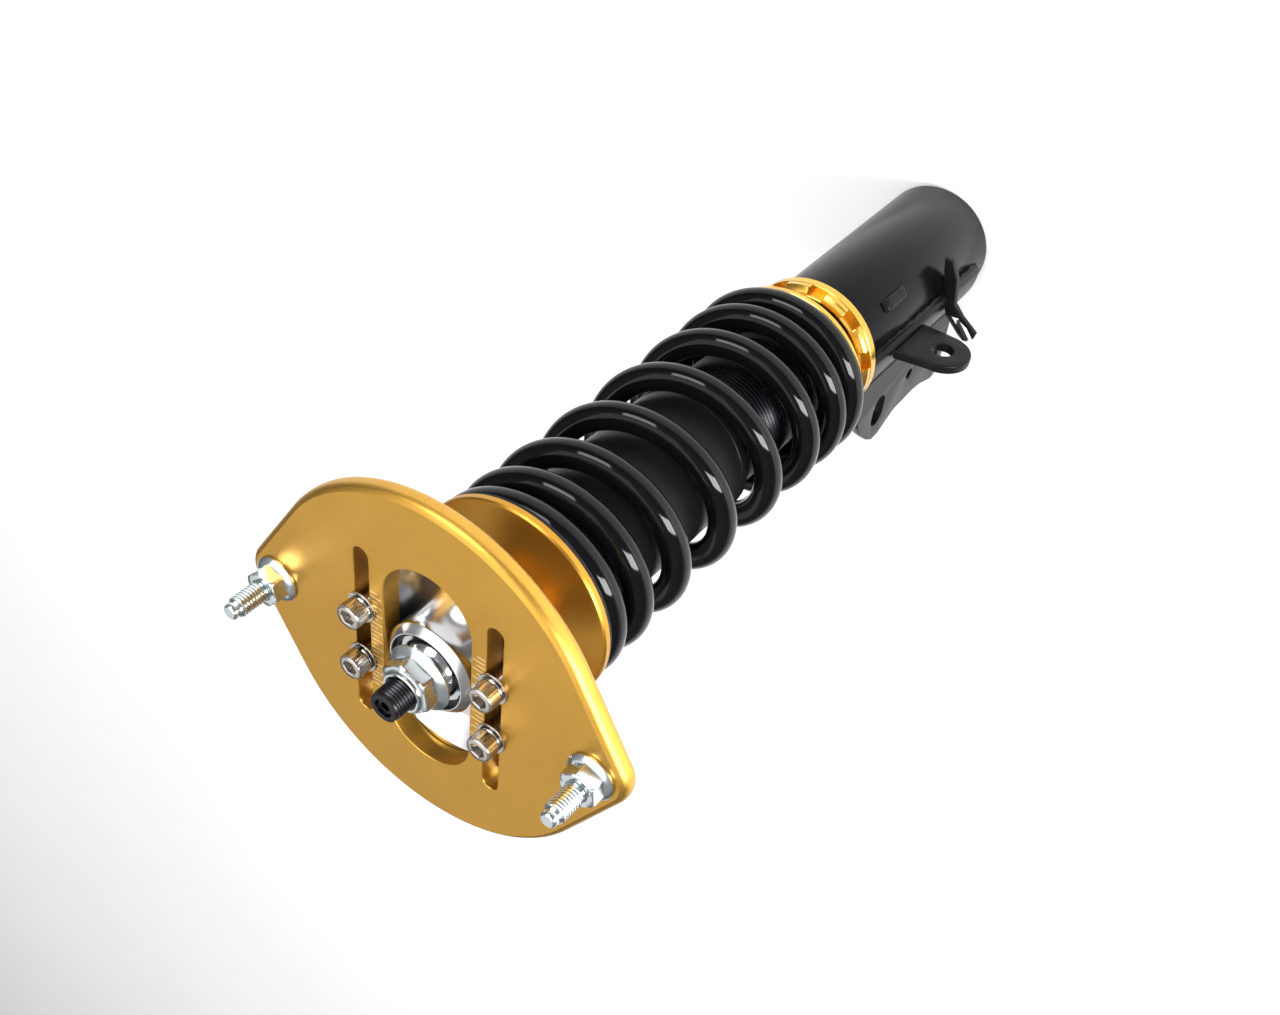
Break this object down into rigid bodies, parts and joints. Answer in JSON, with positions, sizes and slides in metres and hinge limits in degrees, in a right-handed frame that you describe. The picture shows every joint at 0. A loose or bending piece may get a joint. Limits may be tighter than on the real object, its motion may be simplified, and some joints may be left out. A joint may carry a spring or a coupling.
{
  "type": "coilover strut",
  "caption": "Height-adjustable MacPherson strut coilover with a camber-adjustable pillow-ball top mount, black coil spring and gold spring seats.",
  "frame": {"origin": "where the rod's axis crosses the top face of the camber plate, at the centre of the two mounting studs", "axes": "+Z along the damper axis, up into the car's body; X through the two mounting studs, with the link tab on the +X side; the knuckle ears point to -Y"},
  "size_m": [0.163, 0.142, 0.4012],
  "materials": {
    "plate_gold": "satin gold anodised",
    "seat_gold": "orange-gold anodised, semi-gloss",
    "ring_gold": "gloss gold anodised",
    "zinc": "bright zinc plated",
    "stainless": "plain stainless",
    "polished_aluminium": "turned and polished",
    "bearing_steel": "ground and polished",
    "liner_white": "smooth PTFE",
    "black_oxide": "black oxide",
    "adjuster_black": "dark, semi-gloss",
    "spring_black": "gloss powder coat",
    "boot_black": "satin",
    "isolator_black": "matt",
    "foam_yellow": "matt foam",
    "inner_steel": "plain",
    "body_dark": "dark phosphated",
    "tube_black": "gloss paint"
  },
  "bodies": {
    "top_plate": {"camber_plate": "plate_gold", "mounting_studs": "zinc", "flange_nuts": "zinc"},
    "carrier": {"bearing_carrier": "polished_aluminium", "carrier_screws": "stainless", "spring_washers": "stainless", "flat_washers": "stainless", "bearing_race": "bearing_steel", "retaining_ring": "black_oxide"},
    "liner": {"bearing_liner": "liner_white"},
    "rod": {"pillow_ball": "bearing_steel", "upper_spacer": "zinc", "lower_spacer": "zinc", "rod_nut": "zinc", "piston_rod": "black_oxide", "bearing_washer": "bearing_steel", "bump_stop": "foam_yellow", "piston": "inner_steel", "piston_nut": "inner_steel"},
    "adjuster": {"damping_adjuster": "adjuster_black"},
    "upper_seat": {"upper_spring_seat": "seat_gold", "thrust_bearing": "bearing_steel", "upper_isolator": "isolator_black", "coil_spring": "spring_black", "dust_boot": "boot_black"},
    "damper_body": {"damper_tube": "body_dark", "gland_nut": "body_dark", "rod_seal": "isolator_black", "rod_guide": "inner_steel", "pressure_cylinder": "inner_steel", "base_valve": "inner_steel", "base_plug": "inner_steel"},
    "perch_washer": {"lower_isolator": "isolator_black"},
    "perch": {"spring_perch": "ring_gold"},
    "lower_mount": {"lower_tube": "tube_black", "knuckle_ears": "tube_black", "link_tab": "tube_black", "tube_rib": "tube_black", "hose_bracket": "tube_black"},
    "ring": {"lock_ring": "ring_gold"}
  },
  "joints": [
    {"name": "camber_slide", "type": "slide", "parent": "top_plate", "child": "carrier", "axis": [0, 1, 0], "range_m": [-0.023, 0.023]},
    {"name": "pillow_tilt_x", "type": "hinge", "parent": "carrier", "child": "liner", "pos_m": [0, 0, -0.007], "axis": [1, 0, 0], "range_deg": [-7, 7]},
    {"name": "pillow_tilt_y", "type": "hinge", "parent": "liner", "child": "rod", "pos_m": [0, 0, -0.007], "axis": [0, 1, 0], "range_deg": [-7, 7]},
    {"name": "adjuster_turn", "type": "hinge", "parent": "rod", "child": "adjuster", "pos_m": [0, 0, 0.015], "axis": [0, 0, 1], "range_deg": [0, 720]},
    {"name": "strut_spin", "type": "hinge", "parent": "rod", "child": "upper_seat", "pos_m": [0, 0, -0.03], "axis": [0, 0, 1], "continuous": true},
    {"name": "damper_stroke", "type": "slide", "parent": "upper_seat", "child": "damper_body", "axis": [0, 0, 1], "range_m": [0, 0.07], "deforming": ["coil_spring"]},
    {"name": "perch_travel", "type": "slide", "parent": "damper_body", "child": "perch_washer", "axis": [0, 0, 1], "range_m": [-0.003, 0]},
    {"name": "perch_spin", "type": "hinge", "parent": "perch_washer", "child": "perch", "pos_m": [0, 0, -0.235], "axis": [0, 0, 1], "range_deg": [-545, 0]},
    {"name": "ride_height", "type": "slide", "parent": "damper_body", "child": "lower_mount", "axis": [0, 0, 1], "range_m": [-0.02, 0]},
    {"name": "lock_ring_spin", "type": "hinge", "parent": "lower_mount", "child": "ring", "pos_m": [0, 0, -0.25], "axis": [0, 0, 1], "range_deg": [-3605, 0]}
  ],
  "couplings": [
    {"joint": "perch_spin", "follows": "perch_travel", "rad_per_m": 3141.6},
    {"joint": "lock_ring_spin", "follows": "ride_height", "rad_per_m": 3141.6}
  ]
}
